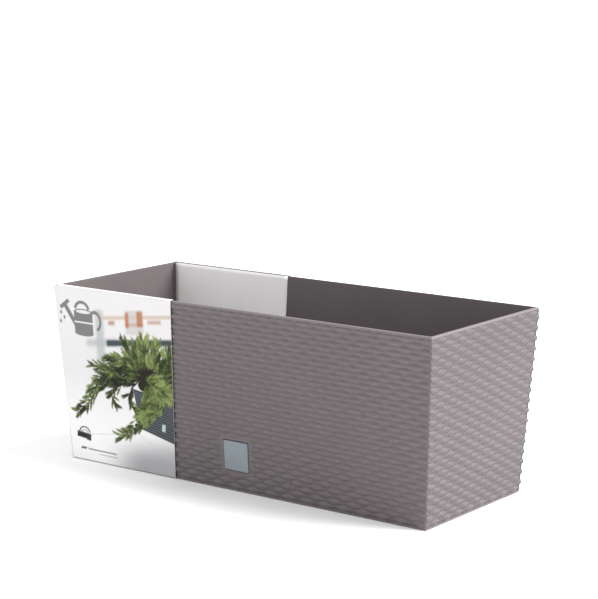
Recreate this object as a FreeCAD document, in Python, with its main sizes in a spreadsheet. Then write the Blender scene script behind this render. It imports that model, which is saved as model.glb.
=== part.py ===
# Self watering planter: a rattan-pattern window box with a lift-out planting insert that stands over a
# water reservoir. Millimetres, +Z up, +X along the box, front wall at -Y. The origin is the middle of
# the base, on the surface that the planter stands on.
import FreeCAD
import Part
import os

doc = FreeCAD.newDocument("SelfWateringPlanter")
sheet = doc.addObject("Spreadsheet::Sheet", "Dims")

dimensions = {
    # Outer case
    "caseLength": 470.0,
    "caseWidth": 192.0,
    "caseHeight": 186.0,
    "caseTaper": 12.0,
    "caseWall": 2.8,
    "caseFloor": 3.0,
    "baseLip": 2.0,
    "baseLipWidth": 6.0,
    "outerCorner": 1.0,
    "rimRound": 2.0,
    "innerCorner": 1.5,
    # Sunk fields that carry the weave
    "weaveRecess": 1.3,
    "weaveRise": 0.7,
    "rimBand": 2.5,
    "baseBand": 2.5,
    "cornerBand": 1.5,
    # Overflow bore and its square plug
    "plugHeight": 36.5,
    "plugSide": 30.0,
    "plugThickness": 2.0,
    "plugCorner": 1.0,
    "spigotBore": 13.6,
    "spigotWall": 1.6,
    "spigotClearance": 0.3,
    "spigotReach": 2.0,
    "bossWall": 2.4,
    "bossReach": 3.0,
    "sealSection": 1.9,
    "sealThickness": 0.9,
    "sealClearance": 0.3,
    "seatGap": 0.05,
    # Planting insert
    "insertGap": 2.0,
    "insertWall": 2.0,
    "insertBase": 48.0,
    "insertFloor": 2.5,
    "insertTop": 128.0,
    "insertLipWidth": 5.0,
    "insertLip": 2.0,
    "legSpan": 20.0,
    "legWall": 3.0,
    "legInset": 14.0,
    "legPitch": 136.0,
    "drainBore": 5.0,
    "drainPitchX": 36.0,
    "drainPitchY": 52.0,
    # Lift bails
    "bailWidth": 80.0,
    "bailReach": 58.0,
    "bailBar": 6.0,
    "bailDrop": 9.0,
    "bailInset": 12.0,
    "studBore": 4.6,
    "studLength": 6.0,
    "studEndGap": 0.5,
    "studClearance": 0.4,
    "lugWall": 3.0,
    # Filler tube and lid
    "fillerX": 176.0,
    "fillerGap": 5.0,
    "fillerLength": 34.0,
    "fillerWidth": 26.0,
    "fillerWall": 1.8,
    "fillerTop": 166.0,
    "fillerDip": 6.0,
    "spoutGap": 0.3,
    "fillerCorner": 3.0,
    "lidThickness": 2.2,
    "lidGap": 0.3,
    "lidTabLength": 6.0,
    "lidTabWidth": 10.0,
    "pinBore": 2.4,
    "pinClearance": 0.2,
    "knuckleWall": 1.8,
    "knuckleLength": 8.0,
    "knuckleGap": 2.3,
    # Water level indicator
    "gaugeX": 130.0,
    "gaugeY": -66.0,
    "gaugeBore": 15.0,
    "gaugeWall": 1.5,
    "gaugeFoot": 8.0,
    "gaugeTop": 146.0,
    "gaugeFloor": 2.0,
    "gaugeFlange": 4.0,
    "gaugeFlangeThickness": 2.0,
    "gaugeSlotWidth": 4.0,
    "gaugeSlotHeight": 16.0,
    "windowTop": 174.5,
    "windowWall": 1.2,
    "windowPlug": 5.0,
    "floatSize": 13.0,
    "floatHeight": 22.0,
    "floatTravel": 18.0,
    "rodSize": 3.0,
    "tipSize": 9.0,
    "tipHeight": 8.0,
    "gaugeClearance": 0.3,
    # Felt wicks
    "wickWidth": 24.0,
    "wickThickness": 3.0,
    "wickTab": 26.0,
    "wickFoot": 7.0,
    "wickPitch": 80.0,
    "wickY": 30.0,
    "wickClearance": 0.6,
    # Card sleeve
    "cardThickness": 0.5,
    "cardGap": 0.5,
    "sleeveEdge": 72.6,
    "sleeveBottom": 1.0,
    "sleeveEndDrop": 2.0,
    "sleeveCorner": 3.0,
    "flapDepth": 55.0,
    "flapGap": 0.4,
    "flapEndGap": 2.2,
    "rimGap": 0.3,
    "creaseGap": 0.5,
}

for row, (name, value) in enumerate(dimensions.items(), start=1):
    sheet.set("A%d" % row, name)
    sheet.set("B%d" % row, str(value))
    sheet.setAlias("B%d" % row, name)
doc.recompute()

nodes = []


def dim(name):
    """Expression for one named size."""
    return "Dims." + name


def bind(obj, sizes):
    for name, expression in sizes.items():
        obj.setExpression(name, expression)
    return obj


def moveTo(obj, x, y, z):
    return bind(obj, {"Placement.Base.x": x, "Placement.Base.y": y, "Placement.Base.z": z})


def box(name, length, width, height, x, y, z):
    """A box centred on x and y, standing on z."""
    obj = bind(doc.addObject("Part::Box", name), {"Length": length, "Width": width, "Height": height})
    return moveTo(obj, "(%s) - (%s) / 2" % (x, length), "(%s) - (%s) / 2" % (y, width), z)


def cylinder(name, size, height, x, y, z, along="Z"):
    """A cylinder that starts at its point and runs along +Z or +Y."""
    obj = bind(doc.addObject("Part::Cylinder", name), {"Radius": "(%s) / 2" % size, "Height": height})
    if along == "Y":
        obj.Placement.Rotation = FreeCAD.Rotation(FreeCAD.Vector(1, 0, 0), -90)
    return moveTo(obj, x, y, z)


def fuse(name, pieces):
    obj = doc.addObject("Part::MultiFuse", name)
    obj.Shapes = pieces
    return obj


def group(name, pieces):
    """Pieces held together as one object, to be placed as one."""
    obj = doc.addObject("Part::Compound", name)
    obj.Links = pieces
    return obj


def cut(name, base, tools):
    obj = doc.addObject("Part::Cut", name)
    obj.Base = base
    obj.Tool = tools[0] if len(tools) == 1 else fuse(name + "Tools", tools)
    return obj


def common(name, first, second):
    obj = doc.addObject("Part::Common", name)
    obj.Base = first
    obj.Tool = second
    return obj


def roundUprights(name, base, radius, rimRadius=None):
    """Round the edges of a solid that climb from its bottom to its top, and its top edges if asked."""
    doc.recompute()
    obj = doc.addObject("Part::Fillet", name)
    obj.Base = base
    bounds = base.Shape.BoundBox
    rounded = []
    for number, edge in enumerate(base.Shape.Edges, start=1):
        if edge.BoundBox.ZLength > 0.9 * bounds.ZLength:
            rounded.append((number, radius, radius))
        elif rimRadius and edge.BoundBox.ZMin > bounds.Center.z:
            rounded.append((number, rimRadius, rimRadius))
    obj.Edges = rounded
    return obj


def node(obj, label):
    obj.Label = label
    nodes.append(obj)
    return obj


def caseHalf(side, height, inset):
    """Half the case's length or width at a height, less an inset from its outer face."""
    slope = "Dims.caseTaper * (1 - (%s) / Dims.caseHeight)" % height
    return "(Dims.case%s / 2 - %s - (%s))" % (side, slope, inset)


def taperedBlock(name, low, high, insetX, insetY):
    """A block with the case's slope on all four sides, from one height to another."""
    obj = doc.addObject("Part::Wedge", name)
    obj.Placement.Rotation = FreeCAD.Rotation(FreeCAD.Vector(1, 0, 0), 90)
    lowX, highX = caseHalf("Length", low, insetX), caseHalf("Length", high, insetX)
    lowY, highY = caseHalf("Width", low, insetY), caseHalf("Width", high, insetY)
    bind(obj, {"Ymin": low, "Ymax": high})
    bind(obj, {"Xmin": "-" + lowX, "Xmax": lowX, "X2min": "-" + highX, "X2max": highX})
    bind(obj, {"Zmin": "-" + lowY, "Zmax": lowY, "Z2min": "-" + highY, "Z2max": highY})
    return obj


def onFrontWall(obj):
    """Stand a piece drawn with its face towards -Y square on the sloped front wall at the plug."""
    obj.Placement.Rotation = FreeCAD.Rotation(FreeCAD.Vector(1, 0, 0), 1)
    obj.setExpression("Placement.Rotation.Angle", "atan(Dims.caseTaper / Dims.caseHeight)")
    return moveTo(obj, "0", "-" + caseHalf("Width", dim("plugHeight"), "0"), dim("plugHeight"))


floorTop = "(Dims.baseLip + Dims.caseFloor)"
insertFloorTop = "(Dims.insertBase + Dims.insertFloor)"
insertInset = "(Dims.caseWall + Dims.insertGap)"
insertInner = "(Dims.caseWall + Dims.insertGap + Dims.insertWall)"
overRun = "10"
overSkin = "-1"


# Outer case: a thin tapered shell on a standing lip, with four sunk fields for the weave.
def makeCase():
    outer = roundUprights("CaseRounded", taperedBlock("CaseBlock", "0", dim("caseHeight"), "0", "0"),
                          sheet.outerCorner, sheet.rimRound)
    topRun = "Dims.caseHeight + " + overRun
    cavity = roundUprights("CavityRounded", taperedBlock("Cavity", floorTop, topRun,
                                                         dim("caseWall"), dim("caseWall")),
                           sheet.innerCorner)
    lip = "Dims.baseLipWidth"
    underside = taperedBlock("Underside", "-" + overRun, dim("baseLip"), lip, lip)

    low, high = dim("baseBand"), "(Dims.caseHeight - Dims.rimBand)"
    skin = cut("FieldSkin", taperedBlock("FieldOuter", low, high, overSkin, overSkin),
               [taperedBlock("FieldInner", low, high, dim("weaveRecess"), dim("weaveRecess"))])
    longSides = common("LongFields", skin, taperedBlock("LongWindow", low, high, dim("cornerBand"),
                                                         "2 * " + overSkin))
    ends = common("EndFields", skin, taperedBlock("EndWindow", low, high, "2 * " + overSkin,
                                                   dim("cornerBand")))
    shell = cut("CaseShell", outer, [cavity, underside, longSides, ends])

    # The boss inside the front wall, and the overflow bore with the seat of its seal.
    seat = "Dims.weaveRecess"
    depth = "(Dims.caseWall + Dims.bossReach - Dims.weaveRecess)"
    boss = onFrontWall(group("Boss", [
        cylinder("BossBarrel", "Dims.spigotBore + 2 * Dims.bossWall", depth, "0", seat, "0", "Y")]))
    bore = onFrontWall(fuse("Bore", [
        cylinder("BoreBarrel", dim("spigotBore"), overRun, "0", "0", "0", "Y"),
        cylinder("SealSeat", "Dims.spigotBore + 2 * Dims.sealSection + 2 * Dims.sealClearance",
                 "Dims.sealThickness + Dims.weaveRecess + Dims.seatGap", "0", "0", "0", "Y")]))
    node(cut("OuterCase", fuse("CaseBody", [shell, boss]), [bore]), "outer_case")


# Overflow plug: a plain square cover on a hollow spigot, with a rubber ring behind the cover.
def makePlug():
    back = "(Dims.weaveRecess - Dims.seatGap)"
    spigotSize = "(Dims.spigotBore - 2 * Dims.spigotClearance)"
    side = dim("plugSide")
    head = box("PlugHead", side, dim("plugThickness"), side, "0",
               back + " - Dims.plugThickness / 2", "-Dims.plugSide / 2")
    doc.recompute()
    rounded = doc.addObject("Part::Fillet", "PlugHeadRounded")
    rounded.Base = head
    edges = enumerate(head.Shape.Edges, start=1)
    corners = [i for i, edge in edges if edge.BoundBox.YLength > edge.Length / 2]
    rounded.Edges = [(i, sheet.plugCorner, sheet.plugCorner) for i in corners]
    reach = "(Dims.caseWall + Dims.bossReach + Dims.spigotReach - Dims.weaveRecess)"
    spigot = cylinder("Spigot", spigotSize, reach, "0", back, "0", "Y")
    hollow = cylinder("SpigotHollow", spigotSize + " - 2 * Dims.spigotWall", overRun, "0",
                      back + " + Dims.sealThickness", "0", "Y")
    node(onFrontWall(cut("OverflowPlug", fuse("PlugSolid", [rounded, spigot]), [hollow])), "overflow_plug")

    outside = cylinder("SealOutside", "Dims.spigotBore + 2 * Dims.sealSection", dim("sealThickness"),
                       "0", back, "0", "Y")
    inside = cylinder("SealInside", dim("spigotBore"), overRun, "0", "0", "0", "Y")
    node(onFrontWall(cut("OverflowSeal", outside, [inside])), "overflow_seal")


# Planting insert: a tray on crossed legs, with drain holes, wick slots and lugs for the bails.
wickPlaces = [(-1, -1.5), (-1, 1.5), (1, -1.5), (1, 1.5)]


def wickX(column):
    return "(%s * Dims.wickPitch)" % column


def bailAxisX(side):
    return "(%d * (%s - Dims.bailInset))" % (side, caseHalf("Length", dim("insertTop"), insertInner))


bailAxisZ = "(Dims.insertTop - Dims.bailDrop)"
fillerY = "(-(Dims.bailWidth / 2 + Dims.fillerGap + Dims.fillerWidth / 2))"
studReach = "(Dims.bailWidth / 2 + Dims.studLength)"
lugSize = "(Dims.studBore + 2 * Dims.studClearance + 2 * Dims.lugWall)"


def makeLegs():
    legs = []
    for side in (-1, 1):
        y = "%d * (%s - Dims.legInset)" % (side, caseHalf("Width", dim("insertBase"), insertInset))
        for column in (-1.5, -0.5, 0.5, 1.5):
            x = "%s * Dims.legPitch" % column
            height = "(Dims.insertBase - %s)" % floorTop
            name = "Leg%d%d" % (side + 1, column * 2 + 3)
            legs.append(box(name + "Long", dim("legSpan"), dim("legWall"), height, x, y, floorTop))
            legs.append(box(name + "Cross", dim("legWall"), dim("legSpan"), height, x, y, floorTop))
    return legs


def makeLugs(side):
    lugs, bores = [], []
    wallX = "(%d * %s)" % (side, caseHalf("Length", bailAxisZ, insertInner + " - Dims.insertWall / 2"))
    for edge in (-1, 1):
        name = "Lug%d%d" % (side + 1, edge + 1)
        inner = "(Dims.bailWidth / 2 + Dims.studClearance)"
        middle = "%d * (%s + Dims.studLength / 2)" % (edge, inner)
        reach = "abs(%s - %s)" % (wallX, bailAxisX(side))
        lugs.append(box(name + "Arm", reach, dim("studLength"), lugSize,
                        "(%s + %s) / 2" % (wallX, bailAxisX(side)), middle,
                        bailAxisZ + " - " + lugSize + " / 2"))
        start = middle + " - Dims.studLength / 2"
        lugs.append(cylinder(name + "Eye", lugSize, dim("studLength"), bailAxisX(side), start,
                             bailAxisZ, "Y"))
        bores.append(cylinder(name + "Bore", "Dims.studBore + 2 * Dims.studClearance",
                              "Dims.studLength + 2", bailAxisX(side), start + " - 1", bailAxisZ, "Y"))
    return lugs, bores


def makeInsert():
    top = dim("insertTop")
    holeLow = "(Dims.insertBase - Dims.insertFloor)"
    tray = cut("InsertTray", taperedBlock("InsertBlock", dim("insertBase"), top, insertInset, insertInset),
               [taperedBlock("InsertHollow", insertFloorTop, "Dims.insertTop + " + overRun,
                             insertInner, insertInner)])
    lipLow = "(Dims.insertTop - Dims.insertLip)"
    lipInner = "(%s + Dims.insertLipWidth)" % insertInner
    lip = cut("InsertLip", taperedBlock("LipBlock", lipLow, top, insertInset, insertInset),
              [taperedBlock("LipHollow", lipLow, top, lipInner, lipInner)])
    pieces = [tray, lip] + makeLegs()
    holes = []
    for side in (-1, 1):
        lugs, bores = makeLugs(side)
        pieces += lugs
        holes += bores
    for number, (row, column) in enumerate(wickPlaces, start=1):
        holes.append(box("WickSlot%d" % number, "Dims.wickWidth + 2 * Dims.wickClearance",
                         "Dims.wickThickness + 2 * Dims.wickClearance", overRun, wickX(column),
                         "%d * Dims.wickY" % row, holeLow))
    for row in (-1, 0, 1):
        # The front row stops short of the level indicator and the filler tube.
        for column in range(-5, 3 if row == -1 else 6):
            x = "%d * Dims.drainPitchX" % column
            y = "%d * Dims.drainPitchY" % row
            holes.append(cylinder("Drain%d%d" % (row + 1, column + 5), dim("drainBore"), overRun, x, y,
                                  holeLow))
    holes.append(box("FillerOpening", "Dims.fillerLength - 2 * Dims.fillerWall + 2 * Dims.spoutGap",
                     "Dims.fillerWidth - 2 * Dims.fillerWall + 2 * Dims.spoutGap", overRun,
                     dim("fillerX"), fillerY, holeLow))
    holes.append(cylinder("GaugeOpening", "Dims.gaugeBore + 2 * Dims.gaugeWall + 2 * Dims.gaugeClearance",
                          overRun, dim("gaugeX"), dim("gaugeY"), holeLow))
    node(cut("PlantingInsert", fuse("InsertBody", pieces), holes), "planting_insert")


# Lift bails: a flat arch at each end of the insert that turns in its lugs and folds inwards.
def makeBail(side, label):
    bar = dim("bailBar")
    low = "(%s - Dims.bailBar / 2)" % bailAxisZ
    pieces = []
    for edge in (-1, 1):
        y = "%d * (Dims.bailWidth / 2 - Dims.bailBar / 2)" % edge
        name = "Bail%d%d" % (side + 1, edge + 1)
        pieces.append(box(name + "Leg", dim("bailReach"), bar, bar,
                          "%s - %d * Dims.bailReach / 2" % (bailAxisX(side), side), y, low))
        pieces.append(cylinder(name + "End", bar, bar, bailAxisX(side), y + " - Dims.bailBar / 2",
                               bailAxisZ, "Y"))
        length = "(Dims.studLength + Dims.studClearance - Dims.studEndGap)"
        start = "%d * (Dims.bailWidth / 2 + %s / 2) - %s / 2" % (edge, length, length)
        pieces.append(cylinder(name + "Stud", dim("studBore"), length, bailAxisX(side), start,
                               bailAxisZ, "Y"))
    gripX = "%s - %d * (Dims.bailReach - Dims.bailBar / 2)" % (bailAxisX(side), side)
    pieces.append(box("Bail%dGrip" % (side + 1), bar, dim("bailWidth"), bar, gripX, "0", low))
    node(fuse("Bail%d" % (side + 1), pieces), label)


# Filler tube: a rectangular chute down to the reservoir, closed by a lid on a pin hinge.
hingeX = ("(Dims.fillerX + Dims.fillerLength / 2 + Dims.lidGap + Dims.pinBore / 2"
          " + Dims.pinClearance + Dims.knuckleWall)")
hingeZ = "(Dims.fillerTop + Dims.lidGap + Dims.lidThickness / 2)"
knuckleSize = "(Dims.pinBore + 2 * Dims.pinClearance + 2 * Dims.knuckleWall)"
hingeRun = "(5 * Dims.knuckleLength)"


def makeFiller():
    length, width, x, y = dim("fillerLength"), dim("fillerWidth"), dim("fillerX"), fillerY
    wall = "2 * Dims.fillerWall"
    height = "(Dims.fillerTop - %s)" % insertFloorTop
    chute = roundUprights("ChuteRounded", box("Chute", length, width, height, x, y, insertFloorTop),
                          sheet.fillerCorner)
    spout = box("Spout", length + " - " + wall, width + " - " + wall,
                "Dims.insertFloor + Dims.fillerDip", x, y, "Dims.insertBase - Dims.fillerDip")
    throat = box("Throat", "%s - 2 * %s" % (length, wall), "%s - 2 * %s" % (width, wall),
                 "Dims.fillerTop + " + overRun, x, y, "0")
    pieces = [chute, spout]
    for edge in (-1, 1):
        middle = "%s + %d * (Dims.knuckleLength + Dims.knuckleGap)" % (fillerY, edge)
        name = "Knuckle%d" % (edge + 1)
        pieces.append(cylinder(name, knuckleSize, dim("knuckleLength"), hingeX,
                               middle + " - Dims.knuckleLength / 2", hingeZ, "Y"))
        reach = "(%s - Dims.fillerX - Dims.fillerLength / 2 + Dims.fillerWall)" % hingeX
        pieces.append(box(name + "Web", reach, dim("knuckleLength"), knuckleSize,
                          hingeX + " - " + reach + " / 2", middle, "Dims.fillerTop - " + knuckleSize))
        pieces.append(box(name + "Neck", "Dims.pinBore + 2 * Dims.pinClearance", dim("knuckleLength"),
                          knuckleSize, hingeX, middle, "Dims.fillerTop - " + knuckleSize + " / 2"))
    bore = cylinder("KnuckleBore", dim("pinBore"), hingeRun, hingeX, y + " - " + hingeRun + " / 2",
                    hingeZ, "Y")
    node(cut("FillerTube", fuse("FillerBody", pieces), [throat, bore]), "filler_tube")

    plate = roundUprights("LidPlateRounded", box("LidPlate", length, width, dim("lidThickness"), x, y,
                                                 "Dims.fillerTop + Dims.lidGap"), sheet.fillerCorner)
    tongueLength = "(%s - Dims.fillerX)" % hingeX
    tongue = box("LidTongue", tongueLength, dim("knuckleLength"), dim("lidThickness"),
                 hingeX + " - " + tongueLength + " / 2", y, "Dims.fillerTop + Dims.lidGap")
    barrel = cylinder("LidKnuckle", knuckleSize, dim("knuckleLength"), hingeX,
                      y + " - Dims.knuckleLength / 2", hingeZ, "Y")
    tab = box("LidTab", dim("lidTabLength"), dim("lidTabWidth"), dim("lidThickness"),
              "Dims.fillerX - Dims.fillerLength / 2", y, "Dims.fillerTop + Dims.lidGap")
    lidBore = cylinder("LidBore", "Dims.pinBore + 2 * Dims.pinClearance", hingeRun, hingeX,
                       y + " - " + hingeRun + " / 2", hingeZ, "Y")
    node(cut("FillerLid", fuse("LidBody", [plate, tongue, barrel, tab]), [lidBore]), "filler_lid")
    pinLength = "(3 * Dims.knuckleLength + 2 * Dims.knuckleGap)"
    node(cylinder("FillerPin", dim("pinBore"), pinLength, hingeX, y + " - " + pinLength + " / 2",
                  hingeZ, "Y"), "filler_pin")


# Water level indicator: a tube through the insert's floor, with a float, its rod and a red tip under
# a clear window.
def makeGauge():
    x, y, bore = dim("gaugeX"), dim("gaugeY"), dim("gaugeBore")
    outside = "(Dims.gaugeBore + 2 * Dims.gaugeWall)"
    tube = cylinder("GaugeTube", outside, "Dims.gaugeTop - Dims.gaugeFoot", x, y, dim("gaugeFoot"))
    flange = cylinder("GaugeFlange", outside + " + 2 * Dims.gaugeFlange",
                      dim("gaugeFlangeThickness"), x, y, insertFloorTop)
    inside = cylinder("GaugeInside", bore, dim("gaugeTop"), x, y, "Dims.gaugeFoot + Dims.gaugeFloor")
    wide, narrow, tall = outside + " * 2", dim("gaugeSlotWidth"), dim("gaugeSlotHeight")
    slotLow = "Dims.gaugeFoot + 2 * Dims.gaugeFloor"
    drains = [box("GaugeSlotX", wide, narrow, tall, x, y, slotLow),
              box("GaugeSlotY", narrow, wide, tall, x, y, slotLow)]
    node(cut("LevelTube", fuse("GaugeBody", [tube, flange]), [inside] + drains), "level_tube")

    plugSize = "(Dims.gaugeBore - 2 * Dims.gaugeClearance / 3)"
    cap = cylinder("WindowCap", outside, "Dims.windowTop - Dims.gaugeTop", x, y, dim("gaugeTop"))
    neck = cylinder("WindowNeck", plugSize, dim("windowPlug"), x, y, "Dims.gaugeTop - Dims.windowPlug")
    hollow = cylinder("WindowHollow", plugSize + " - 2 * Dims.windowWall",
                      "Dims.windowTop - Dims.windowWall - Dims.gaugeTop + Dims.windowPlug", x, y,
                      "Dims.gaugeTop - Dims.windowPlug")
    node(cut("LevelWindow", fuse("WindowBody", [cap, neck]), [hollow]), "level_window")

    floatBase = "(Dims.gaugeFoot + Dims.gaugeFloor + Dims.gaugeClearance)"
    floatTop = "(%s + Dims.floatHeight)" % floatBase
    tipTop = "(Dims.windowTop - Dims.windowWall - Dims.gaugeClearance * 3 - Dims.floatTravel)"
    tipBase = "(%s - Dims.tipHeight)" % tipTop
    node(cylinder("LevelFloat", dim("floatSize"), dim("floatHeight"), x, y, floatBase), "level_float")
    node(cylinder("LevelRod", dim("rodSize"), tipBase + " - " + floatTop, x, y, floatTop), "level_rod")
    node(cylinder("LevelTip", dim("tipSize"), dim("tipHeight"), x, y, tipBase), "level_tip")


# Felt wicks: each strip hangs through its slot into the water and lies flat on the insert's floor.
def makeWicks():
    for number, (row, column) in enumerate(wickPlaces, start=1):
        x, y = wickX(column), "(%d * Dims.wickY)" % row
        tabLow = "(%s + Dims.wickClearance / 2)" % insertFloorTop
        drop = box("WickDrop%d" % number, dim("wickWidth"), dim("wickThickness"),
                   tabLow + " - Dims.wickFoot + Dims.wickThickness", x, y, dim("wickFoot"))
        tabY = "%s - %d * (Dims.wickTab - Dims.wickThickness) / 2" % (y, row)
        tab = box("WickTab%d" % number, dim("wickWidth"), dim("wickTab"), dim("wickThickness"), x, tabY,
                  tabLow)
        node(fuse("Wick%d" % number, [drop, tab]), "felt_wick_%d" % number)


# Card sleeve: one sheet wrapped round the left end, with a flap folded over each long rim.
def makeSleeve():
    near = "(Dims.weaveRise + Dims.cardGap)"
    far = "(Dims.weaveRise + Dims.cardGap + Dims.cardThickness)"
    deckLow = "(Dims.caseHeight + Dims.rimGap)"
    deckHigh = "(Dims.caseHeight + Dims.rimGap + Dims.cardThickness)"
    outer = roundUprights("SleeveRounded", taperedBlock("SleeveOuter", dim("sleeveBottom"), deckHigh,
                                                        "-" + far, "-" + far), sheet.sleeveCorner)
    inner = roundUprights("SleeveInnerRounded", taperedBlock("SleeveInner", "0", deckLow,
                                                             "-" + near, "-" + near),
                          sheet.sleeveCorner - sheet.cardThickness)
    keepRight = box("SleeveRight", "Dims.caseLength", "2 * Dims.caseWidth", "2 * Dims.caseHeight",
                    "Dims.caseLength / 2 - Dims.sleeveEdge", "0", "-1")
    creaseY = "(Dims.caseWidth / 2 - Dims.caseWall - Dims.flapGap + Dims.creaseGap / 2)"
    deckOpening = box("DeckOpening", "2 * Dims.caseLength", "2 * %s" % creaseY, "40", "0", "0",
                      "Dims.caseHeight - Dims.sleeveEndDrop")
    endOpening = box("EndOpening", "40", "2 * Dims.caseWidth", "40",
                     "-(Dims.caseLength / 2 - Dims.caseWall) - 20", "0",
                     "Dims.caseHeight - Dims.sleeveEndDrop")
    node(cut("SleeveWrap", outer, [inner, keepRight, deckOpening, endOpening]), "sleeve_wrap")

    low, high = "(Dims.caseHeight - Dims.flapDepth)", "(Dims.caseHeight - Dims.creaseGap / 2)"
    outerFace = "(Dims.caseWall + Dims.flapGap)"
    innerFace = "(Dims.caseWall + Dims.flapGap + Dims.cardThickness)"
    plates = cut("FlapPlates", taperedBlock("FlapOuter", low, high, "(Dims.caseWall + Dims.flapEndGap)",
                                            outerFace),
                 [taperedBlock("FlapInner", "0", "2 * Dims.caseHeight", "0", innerFace)])
    for side, label in ((-1, "sleeve_front_flap"), (1, "sleeve_back_flap")):
        window = box("FlapWindow%d" % (side + 1), "Dims.caseLength", "Dims.caseWidth",
                     "2 * Dims.caseHeight", "-Dims.sleeveEdge - Dims.caseLength / 2",
                     "%d * Dims.caseWidth / 2" % side, "0")
        node(common("Flap%d" % (side + 1), plates, window), label)


makeCase()
makePlug()
makeInsert()
makeBail(-1, "lift_bail_left")
makeBail(1, "lift_bail_right")
makeFiller()
makeGauge()
makeWicks()
makeSleeve()
doc.recompute()

for obj in doc.Objects:
    if "Invalid" in obj.State or "Error" in obj.State:
        raise RuntimeError("%s (%s) did not build: %s" % (obj.Name, obj.Label, obj.State))
for obj in nodes:
    if obj.Shape.isNull() or not obj.Shape.isValid():
        raise RuntimeError("%s has no valid shape" % obj.Label)

os.makedirs("parts", exist_ok=True)
for obj in nodes:
    obj.Shape.exportStep("parts/%s.step" % obj.Label)
    bounds = obj.Shape.BoundBox
    print("%-20s solids %d volume %.0f  x %.1f..%.1f y %.1f..%.1f z %.1f..%.1f" % (
        obj.Label, len(obj.Shape.Solids), obj.Shape.Volume, bounds.XMin, bounds.XMax,
        bounds.YMin, bounds.YMax, bounds.ZMin, bounds.ZMax))
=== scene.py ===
# Looks of the self watering planter: weave, card sleeve, felt wicks and finishes on the CAD frame.
import bmesh
import bpy
import math
import numpy
import random
from mathutils import Matrix, Vector, noise


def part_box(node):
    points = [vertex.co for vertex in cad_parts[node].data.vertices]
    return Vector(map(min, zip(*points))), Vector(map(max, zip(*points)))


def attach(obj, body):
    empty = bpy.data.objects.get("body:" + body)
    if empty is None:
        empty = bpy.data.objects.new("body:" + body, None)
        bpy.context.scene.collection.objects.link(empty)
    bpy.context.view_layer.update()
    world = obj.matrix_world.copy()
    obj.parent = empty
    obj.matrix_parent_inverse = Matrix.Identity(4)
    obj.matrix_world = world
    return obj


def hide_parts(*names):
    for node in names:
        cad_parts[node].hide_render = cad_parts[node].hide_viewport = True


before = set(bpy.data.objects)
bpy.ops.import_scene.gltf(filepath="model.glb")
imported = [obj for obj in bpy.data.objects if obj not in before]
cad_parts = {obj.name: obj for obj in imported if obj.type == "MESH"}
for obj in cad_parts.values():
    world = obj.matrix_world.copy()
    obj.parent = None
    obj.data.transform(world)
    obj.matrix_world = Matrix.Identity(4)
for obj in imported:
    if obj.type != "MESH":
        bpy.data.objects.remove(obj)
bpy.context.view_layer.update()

# The case's walls lean out by its taper; every place on them is worked out from its box.
case = {
    "taper": 0.012,
    "recess": 0.0013,
    "sink": 0.0001,
    "rimBand": 0.0025,
    "baseBand": 0.0025,
    "rimRound": 0.002,
}
caseLow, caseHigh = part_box("outer_case")
caseHeight = caseHigh[2]
lean = case["taper"] / caseHeight
leanScale = math.sqrt(1 + lean * lean)
caseLength = (caseHigh[0] + lean * case["rimRound"]) * 2
caseWidth = (caseHigh[1] + lean * case["rimRound"]) * 2


def wallHalf(side, up):
    # Half the span across the case from one wall to the one facing it.
    span = caseWidth if side in ("front", "back") else caseLength
    return span / 2 - lean * (caseHeight - up)


def alongHalf(side, up):
    span = caseLength if side in ("front", "back") else caseWidth
    return span / 2 - lean * (caseHeight - up)


def onWall(side, along, up, out):
    # A point on a wall: along runs to the right as one faces it, out is square to the wall.
    reach = wallHalf(side, up) + out / leanScale
    drop = up - out * lean / leanScale
    if side == "front":
        return Vector((along, -reach, drop))
    if side == "back":
        return Vector((-along, reach, drop))
    if side == "right":
        return Vector((reach, along, drop))
    return Vector((-reach, -along, drop))


class Wire:
    # One socket of a finish. Sums and products of wires add the Math nodes that work them out.
    def __init__(self, finish, socket):
        self.finish = finish
        self.socket = socket

    def maths(self, operation, *values):
        return self.finish.node("ShaderNodeMath", {"operation": operation}, dict(enumerate(values)))

    def __add__(self, other):
        return self.maths("ADD", self, other)

    def __radd__(self, other):
        return self.maths("ADD", other, self)

    def __sub__(self, other):
        return self.maths("SUBTRACT", self, other)

    def __rsub__(self, other):
        return self.maths("SUBTRACT", other, self)

    def __mul__(self, other):
        return self.maths("MULTIPLY", self, other)

    def __rmul__(self, other):
        return self.maths("MULTIPLY", other, self)

    def size(self):
        return self.maths("ABSOLUTE", self)

    def between(self, low, high, start=0.0, end=1.0):
        # Climbs smoothly from start to end as the value goes from low to high.
        settings = {"interpolation_type": "SMOOTHSTEP"}
        inputs = {"Value": self, "From Min": low, "From Max": high, "To Min": start, "To Max": end}
        return self.finish.node("ShaderNodeMapRange", settings, inputs)


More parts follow.
